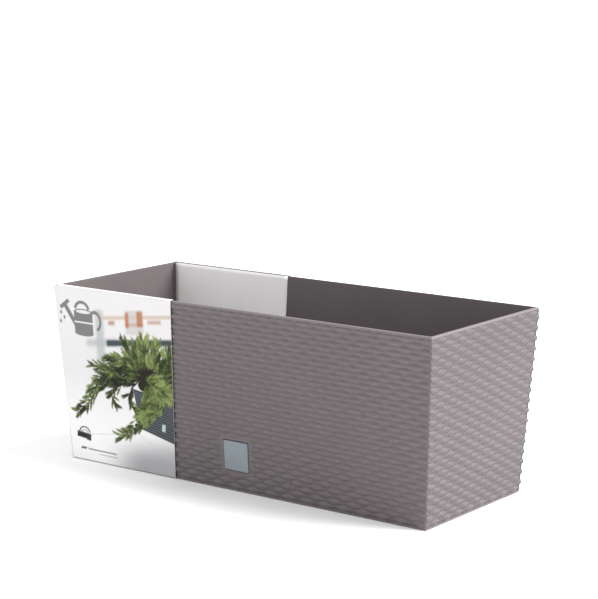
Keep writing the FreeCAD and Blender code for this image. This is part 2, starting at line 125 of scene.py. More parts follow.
class Finish:
    # A material: its Principled shader and the one way to add any node to it.
    def __init__(self, name):
        self.material = bpy.data.materials.new(name)
        self.material.use_nodes = True
        self.tree = self.material.node_tree
        self.shader = self.tree.nodes["Principled BSDF"]
        self.place = self.node("ShaderNodeTexCoord", output="Object")

    def node(self, kind, settings=None, inputs=None, output=0):
        made = self.tree.nodes.new(kind)
        for name, value in (settings or {}).items():
            if name == "stops":
                ramp = made.color_ramp.elements
                while len(ramp) < len(value):
                    ramp.new(0.5)
                for stop, (position, colour) in zip(ramp, value):
                    stop.position = position
                    stop.color = (*colour, 1)
            else:
                setattr(made, name, value)
        for name, value in (inputs or {}).items():
            self.feed(made.inputs[name], value)
        return Wire(self, made.outputs[output])

    def feed(self, socket, value):
        if isinstance(value, Wire):
            self.tree.links.new(value.socket, socket)
        elif socket.type == "RGBA" and len(value) == 3:
            socket.default_value = (*value, 1)
        else:
            socket.default_value = value

    def shade(self, **values):
        for name, value in values.items():
            self.feed(self.shader.inputs[name.replace("_", " ")], value)
        return self.material

    def axes(self):
        return [self.node("ShaderNodeSeparateXYZ", None, {"Vector": self.place}, axis) for axis in "XYZ"]

    def noise(self, scale, detail=2, roughness=0.5, place=None):
        inputs = {"Vector": place or self.place, "Scale": scale, "Detail": detail, "Roughness": roughness}
        return self.node("ShaderNodeTexNoise", None, inputs)

    def cells(self, scale):
        return self.node("ShaderNodeTexVoronoi", None, {"Vector": self.place, "Scale": scale}, "Distance")

    def stretched(self, x, y, z):
        return self.node("ShaderNodeMapping", None, {"Vector": self.place, "Scale": (x, y, z)})

    def attribute(self, name, output="Fac"):
        return self.node("ShaderNodeAttribute", {"attribute_name": name}, None, output)

    def mix(self, share, first, second, blend="MIX"):
        settings = {"data_type": "RGBA", "blend_type": blend}
        return self.node("ShaderNodeMix", settings, {0: share, 6: first, 7: second}, 2)

    def bump(self, height, distance, strength=1.0, over=None):
        inputs = {"Height": height, "Distance": distance, "Strength": strength}
        if over:
            inputs["Normal"] = over
        return self.node("ShaderNodeBump", None, inputs)


def lighter(colour, amount):
    return tuple(min(1.0, part * amount) for part in colour)


# Moulded plastic: fine spark grain, faint flow marks, a little scuffing near the ground, painted shade in
# the weave's grooves, paler strand crowns and a painted highlight along the rim.
plastic = {
    "sparkScale": 2600,
    "flowScale": 9,
    "dustScale": 130,
    "scratchScale": 60,
    "scratchStretch": 14,
    "scratchDepth": 0.00002,
    "scuffUp": 0.02,
    "scuffShade": 1.5,
    # painted shade in the weave's grooves
    "valleyPaintedShade": 0.68,
    # paler patches on the strands' crowns
    "crestPaleShare": 0.35,
    "crestPaleGain": 1.2,
    "rimHighlightBand": (0.0022, 0.0006),  # how far under the rim the painted highlight band starts and is full
    # painted highlight along the rim
    "rimHighlightGain": 1.28,
}


def mouldedPlastic(name, colour, roughness=0.5, grain=0.00003, scuff=0.25, woven=False,
                   rimUp=None):
    finish = Finish(name)
    spark = finish.noise(plastic["sparkScale"], 2, 0.6)
    flow = finish.noise(plastic["flowScale"], 3, 0.55)
    dust = finish.noise(plastic["dustScale"], 4, 0.65)
    height = finish.axes()[2]
    pulled = finish.stretched(1, 1, plastic["scratchStretch"])
    scratches = finish.noise(plastic["scratchScale"], 3, 0.6, pulled).between(0.62, 0.72)
    worn = height.between(0.0, plastic["scuffUp"], 1.0, 0.0) * dust.between(0.42, 0.62) * scuff
    shadeOf = finish.mix(flow.between(0.3, 0.7), lighter(colour, 0.95), lighter(colour, 1.06))
    shadeOf = finish.mix(worn, shadeOf, lighter(colour, plastic["scuffShade"]))
    if woven:
        crest = finish.attribute("relief")
        # Painted shade: the grooves between the strands are darkened where the relief is low.
        valley = crest.between(0.0, 0.6, 1.0, 0.0)
        shadeOf = finish.mix(valley, shadeOf, lighter(colour, plastic["valleyPaintedShade"]))
        # The strands' crowns are made paler in patches.
        paler = crest.between(0.8, 1.0) * dust.between(0.45, 0.6) * plastic["crestPaleShare"]
        shadeOf = finish.mix(paler, shadeOf, lighter(colour, plastic["crestPaleGain"]))
    if rimUp:
        # Painted highlight: the top few millimetres up to the rim are made lighter, a little unevenly.
        start, full = plastic["rimHighlightBand"]
        paler = height.between(rimUp - start, rimUp - full) * dust.between(0.25, 0.5, 0.75, 1.0)
        shadeOf = finish.mix(paler, shadeOf, lighter(colour, plastic["rimHighlightGain"]))
    rough = roughness + (dust - 0.5) * 0.14 - scratches * 0.05
    surface = finish.bump(spark, grain)
    surface = finish.bump(scratches, plastic["scratchDepth"], 0.5, surface)
    return finish.shade(Base_Color=shadeOf, Roughness=rough, Normal=surface, Specular_IOR_Level=0.5)


def newPiece(name, mesh, body, material, smooth=True):
    # Puts a finished bmesh in the scene as a piece that rides on a CAD body.
    data = bpy.data.meshes.new(name)
    mesh.to_mesh(data)
    mesh.free()
    data.materials.append(material)
    data.polygons.foreach_set("use_smooth", [smooth] * len(data.polygons))
    piece = bpy.data.objects.new(name, data)
    bpy.context.scene.collection.objects.link(piece)
    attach(piece, body)
    return piece


# Camera, floor and light.
camera = {
    "place": (1.1722, -1.5351, 0.5279),
    "target": (0.0125, 0.0, 0.18304),
    "lens": 116.89,
    "sensor": 36,
    "farthest": 50,
}
studio = {
    "floorColour": (0.93, 0.93, 0.93),
    "floorHalf": 14,
    "skyStrength": 1.12,
    "sunFrom": (0.62, 0.38, 0.68),
    "sunStrength": 5.5,
    "sunSpread": 40,
}


def aim(thing, place, target):
    thing.location = place
    thing.rotation_euler = (Vector(target) - Vector(place)).to_track_quat("-Z", "Y").to_euler()


def makeCamera():
    lens = bpy.data.cameras.new("camera")
    lens.sensor_fit = "HORIZONTAL"
    lens.sensor_width = camera["sensor"]
    lens.lens = camera["lens"]
    lens.clip_end = camera["farthest"]
    holder = bpy.data.objects.new("camera", lens)
    bpy.context.scene.collection.objects.link(holder)
    aim(holder, camera["place"], camera["target"])
    bpy.context.scene.camera = holder


def makeSun():
    lamp = bpy.data.lights.new("sun", "SUN")
    lamp.energy = studio["sunStrength"]
    lamp.angle = math.radians(studio["sunSpread"])
    holder = bpy.data.objects.new("sun", lamp)
    bpy.context.scene.collection.objects.link(holder)
    aim(holder, studio["sunFrom"], (0, 0, 0))


def makeStage():
    plane = bmesh.new()
    bmesh.ops.create_grid(plane, x_segments=1, y_segments=1, size=studio["floorHalf"])
    data = bpy.data.meshes.new("floor")
    plane.to_mesh(data)
    plane.free()
    floor = bpy.data.objects.new("floor", data)
    bpy.context.scene.collection.objects.link(floor)
    finish = Finish("floorPaint")
    mottle = finish.noise(3, 2)
    paint = finish.mix(mottle, studio["floorColour"], lighter(studio["floorColour"], 0.995))
    data.materials.append(finish.shade(Base_Color=paint, Roughness=0.8, Specular_IOR_Level=0.0))
    world = bpy.data.worlds.new("studio")
    world.use_nodes = True
    sky = world.node_tree.nodes["Background"]
    sky.inputs["Color"].default_value = (1, 1, 1, 1)
    sky.inputs["Strength"].default_value = studio["skyStrength"]
    bpy.context.scene.world = world
    makeSun()
    bpy.context.scene.view_settings.view_transform = "Standard"


# The moulded rattan weave: rounded strands that pass over and under, row by row.
weave = {
    "columnPitch": 0.0115,
    "rowPitch": 0.0052,
    "columnSteps": 8,
    "rowSteps": 6,
    "valley": -0.0011,
    "crest": 0.0013,
    "cornerBand": 0.0003,
    "tucked": 0.36,
    "halfStrand": 0.47,
    "bulge": 0.19,
    "overPower": 1.5,
    "crownPower": 0.8,
    "wander": 0.12,
    "press": 0.08,
    "start": {"front": 0.0, "right": 0.5, "back": 1.0, "left": 0.5},
    "plugGap": 0.0006,
    "plugFrame": 0.0042,
    "frameLevel": 0.5,
    "frameTone": 0.7,
    "colour": (0.101, 0.085, 0.0883),
    "smoothGain": 1.14,  # the smooth inside and rim over the woven walls
}


def strandShare(column, row):
    # 0 in a groove, 1 on the crown of a strand where it passes over its neighbours.
    best = 0.0
    nearest = math.floor(row + 1e-6)
    for strand in range(nearest - 1, nearest + 2):
        wander = noise.noise(Vector((column * 0.9, strand * 1.7, 3.0))) * weave["wander"]
        wave = math.cos(math.pi * (column + strand + wander))
        over = (0.5 + 0.5 * wave) ** weave["overPower"]
        across = (row - strand - 0.5) / (weave["halfStrand"] + weave["bulge"] * over)
        if abs(across) < 1:
            press = 1 + weave["press"] * noise.noise(Vector((column * 0.4, strand * 0.6, 9.0)))
            crown = weave["tucked"] + (1 - weave["tucked"]) * over * press
            best = max(best, crown * (1 - across * across) ** weave["crownPower"])
    return min(1.0, best)


def makeWeave(side, material, plate=None):
    low = case["baseBand"]
    high = caseHeight - case["rimBand"]
    columns = round(alongHalf(side, high) * 2 / weave["columnPitch"])
    rows = round((high - low) / weave["rowPitch"])
    panel = bmesh.new()
    relief = panel.verts.layers.float.new("relief")
    bmesh.ops.create_grid(panel, x_segments=columns * weave["columnSteps"],
                          y_segments=rows * weave["rowSteps"], size=0.5)
    rise = weave["crest"] - weave["valley"]
    for vert in panel.verts:
        column = (vert.co.x + 0.5) * (columns - 0.5) + weave["start"][side]
        row = (vert.co.y + 0.5) * rows
        up = low + (high - low) * (vert.co.y + 0.5)
        along = vert.co.x * 2 * (alongHalf(side, up) - weave["cornerBand"])
        share = tone = strandShare(column, row)
        if plate and max(abs(along), abs(up - plate[0])) - plate[1] < weave["plugFrame"]:
            share, tone = weave["frameLevel"], weave["frameTone"]
        vert[relief] = tone
        vert.co = Vector((along, up, weave["valley"] + rise * share))
    if plate:
        openPlateRecess(panel, plate)
    for vert in panel.verts:
        vert.co = onWall(side, vert.co.x, vert.co.y, vert.co.z)
    skirtPanel(panel, side)
    newPiece("weave_" + side, panel, "case", material)


def openPlateRecess(panel, plate):
    # Leaves the wall bare round the plug's square cover, with the opening's edges drawn straight.
    middle, half = plate
    around, snap = half * 1.2, half * 0.93
    inside = [face for face in panel.faces
              if abs(face.calc_center_median().x) < half
              and abs(face.calc_center_median().y - middle) < half]
    bmesh.ops.delete(panel, geom=inside, context="FACES")
    for vert in panel.verts:
        sideways, upward = vert.co.x, vert.co.y - middle
        if vert.is_boundary and abs(sideways) < around and abs(upward) < around:
            if abs(sideways) > snap:
                vert.co.x = math.copysign(half, sideways)
            if abs(upward) > snap:
                vert.co.y = middle + math.copysign(half, upward)


def skirtPanel(panel, side):
    # Closes the panel with a rim that sinks into the wall and a flat back.
    rim = [edge for edge in panel.edges if edge.is_boundary]
    sunk = bmesh.ops.extrude_edge_only(panel, edges=rim)["geom"]
    lower = [part for part in sunk if isinstance(part, bmesh.types.BMVert)]
    for vert in lower:
        reach = wallHalf(side, vert.co.z) - case["recess"] - case["sink"]
        if side in ("front", "back"):
            vert.co.y = math.copysign(reach, vert.co.y)
        else:
            vert.co.x = math.copysign(reach, vert.co.x)
    loops = [part for part in sunk if isinstance(part, bmesh.types.BMEdge) and part.is_boundary]
    if side == "front":
        bmesh.ops.bridge_loops(panel, edges=loops)
    else:
        bmesh.ops.contextual_create(panel, geom=loops)
    bmesh.ops.recalc_face_normals(panel, faces=panel.faces)


# Card sleeve: one printed sheet folded round the left end and over both long rims.
sleeve = {
    "thickness": 0.0005,
    "standOff": 0.00145,  # middle of the card from the wall's plane
    "cornerRadius": 0.00275,
    "foldRadius": 0.0012,
    "crease": 0.09305,
    "endDrop": 0.002,
    "deckEnd": 0.2322,
    "flapStandOff": 0.00345,
    "flapEnd": 0.005,
    "waviness": 0.00012,
    "curl": 0.0005,
    # a brighter copy of the sleeve's white, painted to stand in for light on the flap inside the case
    "innerPaintedLightWhite": (0.90, 0.885, 0.88),
    "setBack": 0.0015,
    "outOfSquare": 0.006,
    "panelSteps": 24,
    "cornerSteps": 6,
    "endSteps": 14,
    "levels": 26,
    "flapColumns": 28,
    "flapRows": 14,
}
wrapLow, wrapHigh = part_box("sleeve_wrap")
sleeveEdge = -wrapHigh[0]
deckMiddle = wrapHigh[2] - sleeve["thickness"] / 2


def sleeveStations():
    # Round the outline from the front panel's free edge to the back one's.
    panel, corner, end = sleeve["panelSteps"], sleeve["cornerSteps"], sleeve["endSteps"]
    stations = [("front", step / panel) for step in range(panel + 1)]
    stations += [("frontCorner", step / corner) for step in range(1, corner)]
    stations += [("end", step / end) for step in range(end + 1)]
    stations += [("backCorner", step / corner) for step in range(1, corner)]
    return stations + [("back", step / panel) for step in range(panel + 1)]


def freeEdge(stretch, up):
    # The card's cut edge: the front panel is cut a little out of square.
    if stretch == "front":
        return sleeveEdge + sleeve["setBack"] + sleeve["outOfSquare"] * (1 - up / caseHeight)
    return sleeveEdge


def sleevePoint(station, up):
    stretch, share = station
    edge = freeEdge(stretch, up)
    radius = sleeve["cornerRadius"]
    reachX = caseLength / 2 - lean * (caseHeight - up) + sleeve["standOff"]
    reachY = caseWidth / 2 - lean * (caseHeight - up) + sleeve["standOff"]
    cornerX, cornerY = reachX - radius, reachY - radius
    if stretch == "front":
        place = Vector((-edge - share * (cornerX - edge), -reachY, up))
    elif stretch == "back":
        place = Vector((-cornerX + share * (cornerX - edge), reachY, up))
    elif stretch == "end":
        place = Vector((-reachX, -cornerY + share * 2 * cornerY, up))
    else:
        turn = share * math.pi / 2
        facing = -1 if stretch == "frontCorner" else 1
        if stretch == "backCorner":
            turn = math.pi / 2 - turn
        sideways = facing * (cornerY + radius * math.cos(turn))
        place = Vector((-cornerX - radius * math.sin(turn), sideways, up))
    ripple = noise.noise(place * 14) * sleeve["waviness"]
    return place * (1 + ripple / caseWidth)


def foldProfile():
    # Heights and reaches from the end panel's top up over the rim to the crease.
    radius = sleeve["foldRadius"]
    reach = caseWidth / 2 + sleeve["standOff"]
    yield reach, deckMiddle - radius
    for step in range(1, sleeve["cornerSteps"] + 1):
        turn = step / sleeve["cornerSteps"] * math.pi / 2
        yield reach - radius * (1 - math.cos(turn)), deckMiddle - radius * (1 - math.sin(turn))
    yield (reach - radius + sleeve["crease"]) / 2, deckMiddle
    yield sleeve["crease"], deckMiddle


def thicken(piece, thickness):
    layer = piece.modifiers.new("thickness", "SOLIDIFY")
    layer.thickness = thickness
    layer.offset = 0
    layer.use_even_offset = True


def makeWrap(material):
    stations = sleeveStations()
    card = bmesh.new()
    bmesh.ops.create_grid(card, x_segments=len(stations) - 1, y_segments=sleeve["levels"], size=0.5)
    top = set()
    endTop = caseHeight - sleeve["endDrop"]
    for vert in card.verts:
        station = stations[round((vert.co.x + 0.5) * (len(stations) - 1))]
        share = vert.co.y + 0.5
        if share > 0.999 and station[0] in ("front", "back"):
            top.add(vert)
        vert.co = sleevePoint(station, wrapLow[2] + (endTop - wrapLow[2]) * share)
    rim = [edge for edge in card.edges if edge.verts[0] in top and edge.verts[1] in top]
    for reach, up in foldProfile():
        grown = bmesh.ops.extrude_edge_only(card, edges=rim)["geom"]
        for part in grown:
            if isinstance(part, bmesh.types.BMVert):
                part.co.x = max(part.co.x, -sleeve["deckEnd"])
                part.co.y = math.copysign(reach, part.co.y)
                part.co.z = up
        rim = [part for part in grown if isinstance(part, bmesh.types.BMEdge) and part.is_boundary
               and abs(part.verts[0].co.z - up) < 1e-6 and abs(part.verts[1].co.z - up) < 1e-6]
    bmesh.ops.recalc_face_normals(card, faces=card.faces)
    front = min(card.faces, key=lambda face: face.calc_center_median().y)
    if front.normal.y > 0:
        bmesh.ops.reverse_faces(card, faces=card.faces)
    piece = newPiece("card_wrap", card, "case", material)
    thicken(piece, sleeve["thickness"])
    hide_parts("sleeve_wrap")


def makeFlap(side, node, body, material):
    low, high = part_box(node)
    facing = -1 if side == "front" else 1
    card = bmesh.new()
    bmesh.ops.create_grid(card, x_segments=sleeve["flapColumns"], y_segments=sleeve["flapRows"],
                          size=0.5)
    for vert in card.verts:
        share = vert.co.y + 0.5
        up = low[2] + (high[2] - low[2]) * share
        left = -(caseLength / 2 - lean * (caseHeight - up) - sleeve["flapEnd"])
        along = high[0] + (left - high[0]) * (vert.co.x + 0.5)
        reach = caseWidth / 2 - lean * (caseHeight - up) - sleeve["flapStandOff"]
        reach -= sleeve["curl"] * (1 - share) ** 3
        reach += noise.noise(Vector((along * 11, share * 2, facing))) * sleeve["waviness"]
        vert.co = Vector((along, facing * reach, up))
    bmesh.ops.recalc_face_normals(card, faces=card.faces)
    if next(iter(card.faces)).normal.y * facing > 0:
        bmesh.ops.reverse_faces(card, faces=card.faces)
    piece = newPiece(node.replace("sleeve", "card"), card, body, material)
    thicken(piece, sleeve["thickness"])
    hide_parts(node)


# The picture printed on the sleeve: a generic plant box on a shelf, with plain pictograms.
picture = {
    "cell": 0.4,
    "low": (-237.0, -1.0),
    "size": (168.0, 189.0),
    "white": (0.585, 0.575, 0.577),
    # painted light for the foot of the film, near the floor
    "lowPaintedLightWhite": (0.88, 0.87, 0.875),
    # painted lilac-grey shade where the card turns round the left end
    "paintedBendShade": (0.55, 0.538, 0.56),
    "paintedBendShadeReach": (-0.236, -0.222),
    "paintedBendShadeShare": 0.7,
    "shelf": (0.43, 0.33, 0.25),
    "band": (0.038, 0.056, 0.061),
    "paleBand": (0.34, 0.35, 0.355),
    "floor": (0.36, 0.36, 0.375),
    "column": (0.31, 0.335, 0.345),
    "glass": (0.42, 0.40, 0.375),
    "orange": (0.31, 0.105, 0.035),
    "ink": (0.150, 0.148, 0.150),
    "black": (0.022, 0.022, 0.024),
    "slate": (0.026, 0.033, 0.038),
    "stripe": (0.105, 0.120, 0.128),
    "patch": (0.42, 0.46, 0.48),
    "seam": (0.52, 0.52, 0.54),
}
# The plant in it. Lengths are in millimetres, and light runs from 0, deep shade, to 1.
plant = {
    "needles": ((0.003, 0.004, 0.001), (0.021, 0.031, 0.008), (0.058, 0.082, 0.020),
                (0.20, 0.25, 0.085)),
    "bark": (0.012, 0.007, 0.004),
    "seed": 7,
    "blur": 0.9,
    "shadeSteps": 12,
    "twigSteps": 14,
    "sprayShare": 1.3,
    "sprayLength": (6, 11),
    "sprayTurn": (0.05, 0.6),
    "sprayLift": 0.22,
    "sprayLight": (-0.36, 0.24),
    "clumpScale": 0.09,
    "clumpLight": 0.6,
    "needleCount": 34,
    "needleTurn": (0.12, 0.62),
    "needleLength": (1.8, 4.0),
    "needleWidth": (0.3, 0.65),
    "needleLight": (-0.36, 0.3),
    "tipLight": 0.34,
}
# Boughs: their line along and up the panel, how wide they spread, their sprays and their light.
boughs = [
    {"line": ((-104, 106), (-92, 102), (-75, 96)), "spread": 13, "sprays": 50, "light": 0.3},
    {"line": ((-114, 104), (-128, 110), (-146, 108), (-164, 100)),
     "spread": 12, "sprays": 80, "light": 0.18},
    {"line": ((-118, 92), (-108, 88), (-92, 83), (-76, 92)), "spread": 11, "sprays": 50, "light": 0.5},
    {"line": ((-124, 100), (-146, 96), (-164, 90), (-178, 84)), "spread": 8, "sprays": 60, "light": 0.2},
    {"line": ((-158, 104), (-172, 95), (-181, 84), (-189, 74), (-197, 63), (-211, 52)),
     "spread": 6, "sprays": 70, "light": 0.34},
    {"line": ((-148, 90), (-158, 84), (-161, 76), (-156, 68)), "spread": 3, "sprays": 26, "light": 0.08},
    {"line": ((-132, 88), (-137, 78), (-134, 68), (-127, 60)), "spread": 2.5, "sprays": 22, "light": 0.22},
    {"line": ((-120, 112), (-136, 117), (-152, 116), (-164, 112)),
     "spread": 7, "sprays": 46, "light": 0.42},
    {"line": ((-160, 103), (-174, 106), (-187, 106)), "spread": 3, "sprays": 12, "light": 0.45},
    {"line": ((-116, 108), (-121, 122), (-124, 135)), "spread": 9, "sprays": 50, "light": 0.55},
    {"line": ((-124, 112), (-134, 123), (-140, 136)), "spread": 7, "sprays": 40, "light": 0.62},
    {"line": ((-112, 112), (-114, 128), (-113, 141)), "spread": 9, "sprays": 50, "light": 0.68},
    {"line": ((-105, 110), (-99, 126), (-95, 138)), "spread": 8, "sprays": 46, "light": 0.62},
    {"line": ((-101, 108), (-88, 120), (-76, 133)), "spread": 11, "sprays": 60, "light": 0.5},
    {"line": ((-96, 100), (-84, 108), (-75, 115)), "spread": 11, "sprays": 46, "light": 0.42},
    {"line": ((-108, 95), (-111, 75), (-123, 56), (-139, 40), (-155, 33)),
     "spread": 7, "sprays": 70, "light": 0.6},
    {"line": ((-98, 92), (-103, 74), (-116, 57)), "spread": 11, "sprays": 70, "light": 0.62},
    {"line": ((-88, 92), (-93, 80), (-104, 66)), "spread": 9, "sprays": 46, "light": 0.68},
    {"line": ((-112, 100), (-96, 92), (-78, 82)), "spread": 10, "sprays": 50, "light": 0.68},
]
twigs = [
    ((-127, 98), (-140, 92), (-150, 88), (-160, 82)),
    ((-124, 96), (-131, 90), (-134, 82)),
    ((-116, 106), (-104, 108), (-96, 102)),
]


def alongLine(line, share):
    # The point and direction at a share of a line's length.
    points = [Vector(point) for point in line]
    lengths = [(end - start).length for start, end in zip(points, points[1:])]
    left = share * sum(lengths)
    for start, end, length in zip(points, points[1:], lengths):
        if left <= length:
            return start + (end - start) * (left / length), (end - start).normalized()
        left -= length
    return points[-1], (points[-1] - points[-2]).normalized()


def blended(first, second, share):
    return tuple(a + (b - a) * share for a, b in zip(first, second))


def needleColour(light):
    steps = plant["needles"]
    place = max(0.0, min(0.999, light)) * (len(steps) - 1)
    return blended(steps[int(place)], steps[int(place) + 1], place - int(place))


class Page:
    # Paint laid on the sleeve's long panel, in millimetres along and up. Colours are held times
    # their cover.
    def __init__(self):
        self.cell = picture["cell"]
        self.low = picture["low"]
        columns, rows = (round(part / self.cell) for part in picture["size"])
        self.along = self.low[0] + self.cell * numpy.arange(columns)
        self.up = self.low[1] + self.cell * numpy.arange(rows)
        self.paint = numpy.zeros((rows, columns, 4))
        self.soft = self.cell

    def lay(self, middle, reach, colour, outside):
        # Paints where outside, the distance out of a shape, is below nothing, with a soft edge.
        cells = [round((middle[axis] - self.low[axis]) / self.cell) for axis in (0, 1)]
        span = math.ceil(reach / self.cell) + 2
        across = slice(max(0, cells[0] - span), max(0, cells[0] + span + 1))
        upward = slice(max(0, cells[1] - span), max(0, cells[1] + span + 1))
        x, y = self.along[None, across] - middle[0], self.up[upward, None] - middle[1]
        cover = numpy.clip(0.5 - outside(x, y) / self.soft, 0, 1)[..., None]
        spot = self.paint[upward, across]
        spot += (numpy.array((*colour, 1.0)) - spot) * cover

    def stroke(self, start, course, length, width, colour, tip=0.2):
        def outside(x, y):
            along = numpy.clip(x * course[0] + y * course[1], 0, length)
            half = (width + (tip - 1) * width * along / length) / 2
            return numpy.hypot(x - along * course[0], y - along * course[1]) - half
        self.lay(start, length + width, colour, outside)

    def slab(self, middle, size, turn, colour, slant=0.0):
        def outside(x, y):
            across = x * math.cos(turn) + y * math.sin(turn)
            above = y * math.cos(turn) - x * math.sin(turn)
            return numpy.maximum(abs(across - slant * above) - size[0] / 2, abs(above) - size[1] / 2)
        self.lay(middle, max(size), colour, outside)

    def disc(self, middle, size, turn, colour):
        def outside(x, y):
            across = (x * math.cos(turn) + y * math.sin(turn)) / size[0] * 2
            above = (y * math.cos(turn) - x * math.sin(turn)) / size[1] * 2
            return (numpy.hypot(across, above) - 1) * min(size) / 2
        self.lay(middle, max(size) / 2, colour, outside)

    def arc(self, middle, radius, width, start, sweep, colour, squeeze=1.0):
        def outside(x, y):
            past = (numpy.arctan2(y, x / squeeze) - start) % (2 * math.pi) > sweep
            return abs(numpy.hypot(x / squeeze, y) - radius) - width / 2 + past * radius
        self.lay(middle, radius * squeeze + width + radius, colour, outside)

    def panel(self, corners, colour):
        # A convex shape, its corners anticlockwise.
        middle = [sum(corner[axis] for corner in corners) / len(corners) for axis in (0, 1)]

        def outside(x, y):
            gap = -math.inf
            for first, second in zip(corners, corners[1:] + corners[:1]):
                run = (Vector(second) - Vector(first)).normalized()
                right, above = x + middle[0] - first[0], y + middle[1] - first[1]
                gap = numpy.maximum(gap, right * run.y - above * run.x)
            return gap
        self.lay(middle, max(math.dist(middle, corner) for corner in corners), colour, outside)

    def read(self, along, up):
        # The paint at places given in millimetres, blended between cells.
        x = (numpy.array(along) - self.low[0]) / self.cell
        y = (numpy.array(up) - self.low[1]) / self.cell
        column = numpy.clip(x.astype(int), 0, len(self.along) - 2)
        row = numpy.clip(y.astype(int), 0, len(self.up) - 2)
        right = numpy.clip(x - column, 0, 1)[:, None]
        above = numpy.clip(y - row, 0, 1)[:, None]
        lower = self.paint[row, column] * (1 - right) + self.paint[row, column + 1] * right
        upper = self.paint[row + 1, column] * (1 - right) + self.paint[row + 1, column + 1] * right
        return lower * (1 - above) + upper * above


def printCan(page):
    # A plain watering can.
    ink, white = picture["ink"], picture["white"]
    page.slab((-212, 156), (5.2, 27), 0.62, ink)
    page.slab((-220.2, 167.5), (15, 4.2), 0.62, ink)
    page.arc((-178.5, 153), 9.5, 3.6, -1.25, 3.3, ink, squeeze=0.8)
    page.arc((-196, 163), 8.5, 3.2, 0.15, 2.85, ink, squeeze=1.1)
    page.slab((-194.5, 149.5), (26, 23), 0, ink)
    page.disc((-194.5, 138.5), (26, 6), 0, ink)
    page.disc((-194.5, 161), (26, 7), 0, ink)
    page.disc((-194.5, 161.4), (20, 3.6), 0, white)
    page.slab((-194.5, 150), (26, 1.6), 0, white)
    for drop in ((-226, 158), (-221.5, 153), (-227, 148.5)):
        page.disc(drop, (2.6, 4.2), 0.0, ink)


def printIcons(page):
    # The lift-out box with its arched handle, and plain rules where words would stand.
    black, grey = picture["black"], picture["ink"]
    page.slab((-177, 32.6), (36, 0.6), 0.14, lighter(grey, 3.4))
    page.arc((-203, 30.5), 6.2, 1.6, 0.1, 2.95, lighter(grey, 0.7), squeeze=1.15)
    page.arc((-203, 29.5), 3.8, 0.8, 0.1, 2.95, lighter(grey, 0.7), squeeze=1.2)
    page.slab((-204.2, 27.5), (19.5, 6.4), -0.10, black)
    page.slab((-204.2, 30.2), (19.5, 1.0), -0.10, lighter(grey, 0.6))
    page.slab((-197.5, 25.4), (6.0, 5.6), -0.10, lighter(black, 1.8))
    page.slab((-205.5, 13.6), (7.5, 2.6), 0.0, lighter(grey, 0.8), slant=0.5)
    page.slab((-179.5, 13.2), (40, 1.5), -0.01, lighter(grey, 1.3))
    page.slab((-171, 9.4), (26, 0.8), -0.01, lighter(grey, 1.9))


def printBox(page):
    # The striped plant box in the picture: corner at the left, sides running off to the right.
    page.panel([(-123.5, 46.5), (-70, 34.5), (-70, 79), (-131, 88)], picture["slate"])
    rows = 15
    for row in range(rows):
        share = row / rows
        start = Vector((-123.3 - 7.4 * share, 46.8 + 41 * share))
        course = Vector((1, -(0.22 - 0.06 * share))).normalized()
        page.stroke(start, course, 60, 1.0, picture["stripe"], tip=1.0)
    page.slab((-92, 51.5), (4.6, 7.6), -0.12, picture["patch"])


def printSpray(page, dice, bough, share):
    # One short twig off a bough, with needles fanned along it, darker at its foot.
    base, heading = alongLine(bough["line"], share)
    side = dice.choice((-1, 1))
    taper = 1 - 0.6 * share
    aside = Vector((-heading.y, heading.x)) * side
    base = base + aside * dice.random() ** 1.4 * bough["spread"] * taper
    course = heading.copy()
    course.rotate(Matrix.Rotation(side * dice.uniform(*plant["sprayTurn"]), 2))
    course = (course + Vector((0, plant["sprayLift"]))).normalized()
    reach = dice.uniform(*plant["sprayLength"]) * (0.55 + 0.45 * taper)
    place = base * plant["clumpScale"]
    clump = noise.noise(Vector((place.x, place.y, 5.0)))
    shade = bough["light"] + plant["clumpLight"] * clump + dice.uniform(*plant["sprayLight"])
    for needle in range(plant["needleCount"]):
        step = (needle + 0.5) / plant["needleCount"]
        foot = base + course * reach * step
        turn = dice.choice((-1, 1)) * dice.uniform(*plant["needleTurn"]) * (1.05 - 0.4 * step)
        angle = math.atan2(course.y, course.x) + turn
        length = dice.uniform(*plant["needleLength"])
        light = shade + plant["tipLight"] * step + dice.uniform(*plant["needleLight"])
        width = dice.uniform(*plant["needleWidth"])
        page.stroke(foot, (math.cos(angle), math.sin(angle)), length, width, needleColour(light))


def printPlant(page):
    # A conifer: dark wood and shade first, then sprays bough by bough.
    dice = random.Random(plant["seed"])
    page.soft = plant["blur"]
    bark = plant["bark"]
    for bough in boughs:
        for step in range(plant["shadeSteps"]):
            share = (step + 0.5) / plant["shadeSteps"]
            point = alongLine(bough["line"], share * 0.88)[0]
            size = bough["spread"] * (1 - 0.7 * share)
            shade = blended(bark, plant["needles"][1], min(1, bough["light"] * share * 1.6))
            page.disc(point, (size * 1.5, size), dice.uniform(-0.6, 0.6), shade)
    page.disc((-112, 106), (36, 20), 0.1, bark)
    for line in twigs:
        for step in range(plant["twigSteps"]):
            point, heading = alongLine(line, (step + 0.5) / plant["twigSteps"])
            page.stroke(point, heading, 4.0, 1.6 - step * 0.05, bark, tip=0.8)
    for bough in boughs:
        sprays = round(bough["sprays"] * plant["sprayShare"])
        for spray in range(sprays):
            printSpray(page, dice, bough, (spray + dice.random()) / sprays)


def softBox(x, z, low, high, soft):
    # 1 inside a rectangle on the panel, fading out over its soft edges. Sizes in millimetres.
    left, bottom = (part / 1000 for part in low)
    right, top = (part / 1000 for part in high)
    blur = soft / 1000
    across = x.between(left - blur, left + blur) * x.between(right - blur, right + blur, 1.0, 0.0)
    return across * z.between(bottom - blur, bottom + blur) * z.between(top - blur, top + blur, 1.0, 0.0)


